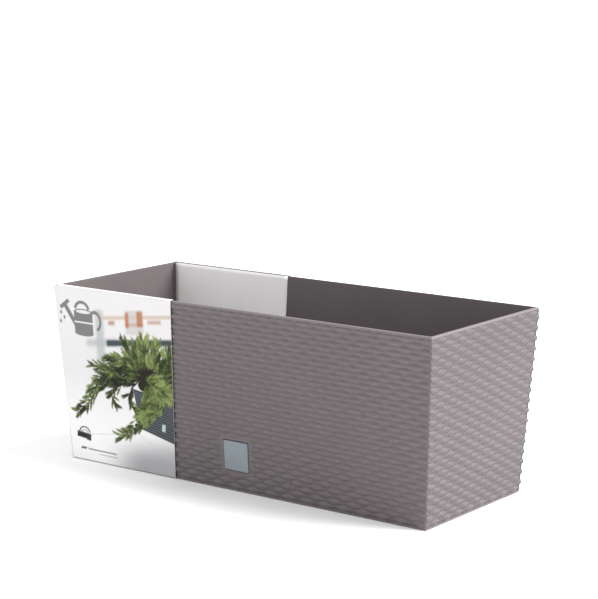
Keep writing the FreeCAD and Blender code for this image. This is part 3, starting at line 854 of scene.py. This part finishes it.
def cardColour(finish, mottle, white):
    # White card, with painted lilac-grey shade towards the end where the card turns away round the corner.
    colour = finish.mix(mottle.between(0.3, 0.7), white, lighter(white, 0.98))
    paintedBendShade = finish.axes()[0].between(*picture["paintedBendShadeReach"], 1.0, 0.0) * picture["paintedBendShadeShare"]
    return finish.mix(paintedBendShade, colour, picture["paintedBendShade"])


def cardFinish(name, white):
    finish = Finish(name)
    fibre = finish.noise(900, 3, 0.6)
    mottle = finish.noise(24, 3, 0.6)
    rough = 0.46 + (mottle - 0.5) * 0.1
    return finish.shade(Base_Color=cardColour(finish, mottle, white), Roughness=rough,
                        Normal=finish.bump(fibre, 0.00002))


film = {
    "columns": 250,
    "rows": 280,
    "lift": 0.00007,
    # painted light: the film is paler up to this height, near the floor
    "lowPaintedLightUp": 0.11,
    "lowPaintedLightShare": 0.9,
    "pivot": 0.12,  # left of the middle, where the tilted shapes stand at their own heights
    "shelfSlope": 0.12,
    "floorSlope": 0.2,
    "floorFade": (0.010, 0.046),
    "floorReach": (-0.185, -0.122),
    "seamPivot": 0.124,
    "seamSlope": 0.46,
    "seamUp": 0.038,
    "seamFade": (0.0006, 0.0035),
    "seamReach": (-0.135, -0.118),
    "seamShare": 0.22,
}
# Soft shapes behind the plant, in millimetres. The tilted ones fall away to the left with the shelf.
softShapes = [
    {"low": (-178, 106), "high": (-167, 166), "soft": 3.5, "share": 0.75, "paint": "column",
     "tilted": False},
    {"low": (-192, 134), "high": (-150, 141.5), "soft": 3.5, "share": 0.8, "paint": "paleBand"},
    {"low": (-164, 133.8), "high": (-40, 140.6), "soft": 1.8, "share": 1.0, "paint": "band"},
    {"low": (-171, 161.8), "high": (-40, 165.6), "soft": 1.6, "share": 0.75, "paint": "shelf"},
    {"low": (-136, 146), "high": (-112, 171), "soft": 1.8, "share": 0.75, "paint": "glass"},
    {"low": (-136.5, 153), "high": (-131.5, 169), "soft": 1.8, "share": 0.85, "paint": "orange",
     "gain": 1.2},
    {"low": (-120.5, 154), "high": (-112.5, 170), "soft": 2.0, "share": 0.85, "paint": "orange",
     "gain": 1.1},
    {"low": (-136.5, 154), "high": (-112.5, 158), "soft": 1.6, "share": 0.35, "paint": "orange"},
    {"low": (-160, 156), "high": (-151, 160.5), "soft": 2.2, "share": 0.75, "paint": "orange"},
    {"low": (-106, 156.5), "high": (-88, 160.5), "soft": 2.0, "share": 0.6, "paint": "orange"},
]


def filmFinish():
    # The printed film: soft shapes worked out here, under the paint that the film's points carry.
    finish = Finish("printedFilm")
    fleck = finish.noise(1800, 2)
    mottle = finish.noise(24, 3, 0.6)
    x, z = finish.attribute("across"), finish.attribute("above")
    colour = cardColour(finish, mottle, picture["white"])
    # Painted light: the film is made paler towards the bottom, where less light reaches it near the floor.
    low = z.between(0.0, film["lowPaintedLightUp"], film["lowPaintedLightShare"], 0.0)
    colour = finish.mix(low, colour, picture["lowPaintedLightWhite"])
    tilt = z - (x + film["pivot"]) * film["shelfSlope"]
    floorEdge = z - (x + film["pivot"]) * film["floorSlope"]
    floor = floorEdge.between(*film["floorFade"], 1.0, 0.0) * x.between(*film["floorReach"])
    colour = finish.mix(floor, colour, picture["floor"])
    seam = z + (x + film["seamPivot"]) * film["seamSlope"] - film["seamUp"]
    seam = seam.size().between(*film["seamFade"], 1.0, 0.0) * x.between(*film["seamReach"])
    colour = finish.mix(seam * film["seamShare"], colour, picture["seam"])
    for shape in softShapes:
        height = tilt if shape.get("tilted", True) else z
        mask = softBox(x, height, shape["low"], shape["high"], shape["soft"]) * shape["share"]
        colour = finish.mix(mask, colour, lighter(picture[shape["paint"]], shape.get("gain", 1.0)))
    colour = finish.mix(finish.attribute("paint", "Alpha"), colour, (0, 0, 0))
    colour = finish.mix(1.0, colour, finish.attribute("paint", "Color"), "ADD")
    return finish.shade(Base_Color=colour, Roughness=0.42 + fleck * 0.1,
                        Normal=finish.bump(fleck, 0.00001), Specular_IOR_Level=0.12)


def makeFilm(name, side, page, material):
    # A thin printed film on one long panel of the sleeve, from its free edge to the corner.
    sheet = bmesh.new()
    paint = sheet.verts.layers.float_color.new("paint")
    across, above = (sheet.verts.layers.float.new(part) for part in ("across", "above"))
    sheet.loops.layers.uv.new("OFBake")
    bmesh.ops.create_grid(sheet, x_segments=film["columns"], y_segments=film["rows"], size=0.5,
                          calc_uvs=True)
    out = (sleeve["thickness"] / 2 + film["lift"]) / leanScale
    facing = -1 if side == "front" else 1
    top = deckMiddle - sleeve["foldRadius"]
    for vert in sheet.verts:
        up = wrapLow[2] + (top - wrapLow[2]) * (vert.co.y + 0.5)
        place = sleevePoint((side, 0.5 - vert.co.x), up)
        vert[above] = up
        vert[across] = place.x if side == "front" else -place.x - caseLength / 2 - sleeveEdge
        vert.co = place + Vector((0, facing * out, -lean * out))
    places = [[vert[layer] * 1000 for vert in sheet.verts] for layer in (across, above)]
    for vert, colour in zip(sheet.verts, page.read(*places).tolist()):
        vert[paint] = colour
    bmesh.ops.recalc_face_normals(sheet, faces=sheet.faces)
    if next(iter(sheet.faces)).normal.y * facing < 0:
        bmesh.ops.reverse_faces(sheet, faces=sheet.faces)
    newPiece(name, sheet, "case", material)


# Square cover of the overflow bore, with its hollow spigot.
plug = {
    "thickness": 0.002,
    "corner": 0.001,
    "edge": 0.0004,
    "seat": 0.00125,
    "spigot": 0.0065,
    "spigotWall": 0.0016,
    "reach": 0.0065,
    "overlap": 0.0002,
    "boreEnd": 0.001,
    "colour": (0.172, 0.203, 0.228),
}


def makePlug(material):
    low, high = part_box("overflow_plug")
    side = high[0] - low[0]
    cover = bmesh.new()
    bmesh.ops.create_cube(cover, size=1)
    bmesh.ops.scale(cover, vec=(side, side, plug["thickness"]), verts=cover.verts)
    uprights = [edge for edge in cover.edges
                if abs((edge.verts[0].co - edge.verts[1].co).z) > plug["thickness"] / 2]
    bmesh.ops.bevel(cover, geom=uprights, offset=plug["corner"], affect="EDGES", segments=5,
                    profile=0.5, material=-1)
    frontRim = [edge for edge in cover.edges if all(vert.co.z > 0 for vert in edge.verts)
                and any(abs(near.normal.z) < 0.5 for near in edge.link_faces)]
    bmesh.ops.bevel(cover, geom=frontRim, offset=plug["edge"], affect="EDGES", segments=3,
                    profile=0.5, material=-1)
    bmesh.ops.translate(cover, vec=(0, 0, plug["thickness"] / 2 - plug["seat"]), verts=cover.verts)
    made = bmesh.ops.create_cone(cover, cap_ends=True, segments=48, radius1=plug["spigot"],
                                 radius2=plug["spigot"], depth=plug["reach"])
    foot = plug["overlap"] - plug["seat"] - plug["reach"] / 2
    bmesh.ops.translate(cover, vec=(0, 0, foot), verts=made["verts"])
    mouth = min((face for vert in made["verts"] for face in vert.link_faces),
                key=lambda face: face.calc_center_median().z)
    bmesh.ops.inset_region(cover, faces=[mouth], thickness=plug["spigotWall"], depth=0)
    bore = bmesh.ops.extrude_discrete_faces(cover, faces=[mouth])["faces"][0]
    bmesh.ops.translate(cover, vec=(0, 0, plug["reach"] - plug["boreEnd"]), verts=bore.verts)
    for vert in cover.verts:
        vert.co = onWall("front", vert.co.x, plateMiddle + vert.co.y, vert.co.z)
    bmesh.ops.recalc_face_normals(cover, faces=cover.faces)
    piece = newPiece("square_cover", cover, "plug", material, smooth=False)
    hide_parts("overflow_plug")


# Felt wicks: one strip each, laid on the insert's floor and hung down a leg into the water.
wick = {
    "thickness": 0.0024,
    "bend": 0.0042,
    "columns": 10,
    "steps": 34,
    "inset": 0.0015,
    "sideGap": 0.0003,
    "wander": 0.00015,
    "dark": (0.30, 0.29, 0.27),
    "pale": (0.46, 0.45, 0.42),
    "clump": (0.2, 0.19, 0.18),
    "damp": (0.2, 0.18, 0.15),
}


def makeWick(number, material):
    node = "felt_wick_%d" % number
    low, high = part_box(node)
    inward = 1 if low[1] + high[1] < 0 else -1
    outerY = low[1] if inward > 0 else high[1]
    dropY = outerY + inward * wick["inset"]
    tabEnd = high[1] if inward > 0 else low[1]
    tabUp = high[2] - wick["inset"]
    bend = wick["bend"]
    quarter = bend * math.pi / 2
    tabRun = abs(tabEnd - dropY) - bend
    dropRun = tabUp - bend - low[2]
    length = tabRun + quarter + dropRun
    strip = bmesh.new()
    bmesh.ops.create_grid(strip, x_segments=wick["columns"], y_segments=wick["steps"], size=0.5)
    left, width = low[0] + wick["sideGap"], high[0] - low[0] - 2 * wick["sideGap"]
    for vert in strip.verts:
        travelled = (vert.co.y + 0.5) * length
        across = left + width * (vert.co.x + 0.5)
        if travelled < tabRun:
            y, z = tabEnd - inward * travelled, tabUp
        elif travelled < tabRun + quarter:
            turn = (travelled - tabRun) / bend
            y = dropY + inward * bend * (1 - math.sin(turn))
            z = tabUp - bend * (1 - math.cos(turn))
        else:
            y, z = dropY, tabUp - bend - (travelled - tabRun - quarter)
        stray = noise.noise(Vector((across * 60, y * 60, z * 60 + number))) * wick["wander"]
        vert.co = Vector((across, y + stray, z + stray))
    bmesh.ops.recalc_face_normals(strip, faces=strip.faces)
    piece = newPiece("felt_strip_%d" % number, strip, "insert", material)
    thicken(piece, wick["thickness"])
    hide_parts(node)


def feltFinish():
    finish = Finish("needledFelt")
    hair = finish.noise(1500, 4, 0.7)
    clump = finish.noise(180, 3, 0.6)
    damp = finish.axes()[2].between(0.01, 0.05, 1.0, 0.0)
    colour = finish.mix(hair.between(0.3, 0.7), wick["dark"], wick["pale"])
    colour = finish.mix(clump.between(0.55, 0.75) * 0.4, colour, wick["clump"])
    colour = finish.mix(damp * 0.5, colour, wick["damp"])
    surface = finish.bump(hair + clump * 0.5, 0.0004, 0.8)
    return finish.shade(Base_Color=colour, Roughness=0.92 + (hair - 0.5) * 0.1, Normal=surface,
                        Sheen_Weight=0.3)


def satinCover():
    finish = Finish("satinBlueGrey")
    brushed = finish.noise(700, 3, 0.6, finish.stretched(1, 1, 9))
    haze = finish.noise(40, 3, 0.5)
    dull, bright = lighter(plug["colour"], 0.95), lighter(plug["colour"], 1.06)
    colour = finish.mix(haze.between(0.3, 0.7), dull, bright)
    colour = finish.mix(brushed.between(0.6, 0.75) * 0.3, colour, lighter(plug["colour"], 1.25))
    surface = finish.bump(brushed, 0.00001)
    return finish.shade(Base_Color=colour, Roughness=0.34 + haze * 0.1, Normal=surface)


# The small fittings' own finishes: two tones each, and the pores of the foam.
fittings = {
    "steel": ((0.42, 0.42, 0.41), (0.58, 0.58, 0.57)),
    "window": ((0.86, 0.89, 0.90), (0.93, 0.95, 0.95)),
    "foam": ((0.72, 0.72, 0.68), (0.80, 0.80, 0.77)),
    "pores": (0.5, 0.5, 0.46),
    "rubber": ((0.018, 0.018, 0.018), (0.06, 0.058, 0.055)),
}
# Plain moulded parts, with the nodes that each finish dresses.
mouldings = [
    {"name": "insertGrey", "colour": (0.046, 0.044, 0.045), "roughness": 0.5, "grain": 0.00005,
     "nodes": ["planting_insert"]},
    {"name": "bailGrey", "colour": (0.052, 0.050, 0.051), "roughness": 0.42,
     "nodes": ["lift_bail_left", "lift_bail_right"]},
    {"name": "fillerGrey", "colour": (0.048, 0.046, 0.047), "roughness": 0.46,
     "nodes": ["filler_tube"]},
    {"name": "lidGrey", "colour": (0.062, 0.060, 0.061), "roughness": 0.4, "nodes": ["filler_lid"]},
    {"name": "gaugeGrey", "colour": (0.052, 0.051, 0.053), "roughness": 0.44,
     "nodes": ["level_tube"]},
    {"name": "tipRed", "colour": (0.52, 0.035, 0.022), "roughness": 0.3, "scuff": 0.1,
     "nodes": ["level_tip"]},
    {"name": "rodWhite", "colour": (0.68, 0.67, 0.64), "roughness": 0.4, "scuff": 0.1,
     "nodes": ["level_rod"]},
]


def steelWire():
    finish = Finish("drawnSteel")
    drawn = finish.noise(900, 3, 0.6, finish.stretched(6, 0.4, 6))
    colour = finish.mix(drawn, *fittings["steel"])
    return finish.shade(Base_Color=colour, Roughness=0.24 + drawn * 0.14,
                        Normal=finish.bump(drawn, 0.00001), Metallic=1.0)


def clearWindow():
    finish = Finish("clearWindow")
    smear = finish.noise(120, 3, 0.6)
    colour = finish.mix(smear, *fittings["window"])
    return finish.shade(Base_Color=colour, Roughness=0.05 + smear.between(0.5, 0.8) * 0.12,
                        Normal=finish.bump(smear, 0.00002), Transmission_Weight=0.9, IOR=1.49)


def closedFoam():
    finish = Finish("closedFoam")
    bubbles = finish.cells(1400)
    blotch = finish.noise(90, 3)
    colour = finish.mix(blotch.between(0.3, 0.7), *fittings["foam"])
    colour = finish.mix(bubbles.between(0.0, 0.25, 0.25, 0.0), colour, fittings["pores"])
    return finish.shade(Base_Color=colour, Roughness=0.8 + blotch * 0.1,
                        Normal=finish.bump(bubbles, 0.0001))


def softRubber():
    finish = Finish("softRubber")
    dust = finish.noise(240, 4, 0.6)
    colour = finish.mix(dust.between(0.5, 0.75), *fittings["rubber"])
    return finish.shade(Base_Color=colour, Roughness=0.6 + dust * 0.2,
                        Normal=finish.bump(dust, 0.00003))


def dress(material, *nodes):
    for node in nodes:
        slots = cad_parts[node].data.materials
        slots.clear()
        slots.append(material)


print("stage: camera, floor and light")
makeCamera()
makeStage()

print("stage: weave")
wovenPlastic = mouldedPlastic("wovenTaupe", weave["colour"], roughness=0.5, woven=True)
plugLow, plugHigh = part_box("overflow_plug")
plateMiddle = (plugLow[2] + plugHigh[2]) / 2
plateHalf = (plugHigh[0] - plugLow[0]) / 2 + weave["plugGap"]
makeWeave("front", wovenPlastic, (plateMiddle, plateHalf))
for side in ("back", "left", "right"):
    makeWeave(side, wovenPlastic)
smoothColour = lighter(weave["colour"], weave["smoothGain"])
dress(mouldedPlastic("smoothTaupe", smoothColour, roughness=0.45, rimUp=caseHeight), "outer_case")

print("stage: square cover")
makePlug(satinCover())
dress(softRubber(), "overflow_seal")

print("stage: card sleeve")
# The back flap's card is a brighter copy of the sleeve card, painted to stand in for light inside the
# case.
innerPaintedLightCard = cardFinish("innerPaintedLightCard", sleeve["innerPaintedLightWhite"])
sleeveCard = cardFinish("sleeveCard", picture["white"])
makeWrap(sleeveCard)
makeFlap("front", "sleeve_front_flap", "front_flap", sleeveCard)
makeFlap("back", "sleeve_back_flap", "back_flap", innerPaintedLightCard)

print("stage: printed film")
page = Page()
printCan(page)
printIcons(page)
printBox(page)
printPlant(page)
printed = filmFinish()
makeFilm("print_front", "front", page, printed)
makeFilm("print_back", "back", page, printed)

print("stage: felt wicks")
felt = feltFinish()
for number in (1, 2, 3, 4):
    makeWick(number, felt)

print("stage: insert and its fittings")
for part in mouldings:
    finish = mouldedPlastic(part["name"], part["colour"], part["roughness"], part.get("grain", 0.00003),
                            part.get("scuff", 0.25))
    dress(finish, *part["nodes"])
dress(steelWire(), "filler_pin")
dress(clearWindow(), "level_window")
dress(closedFoam(), "level_float")
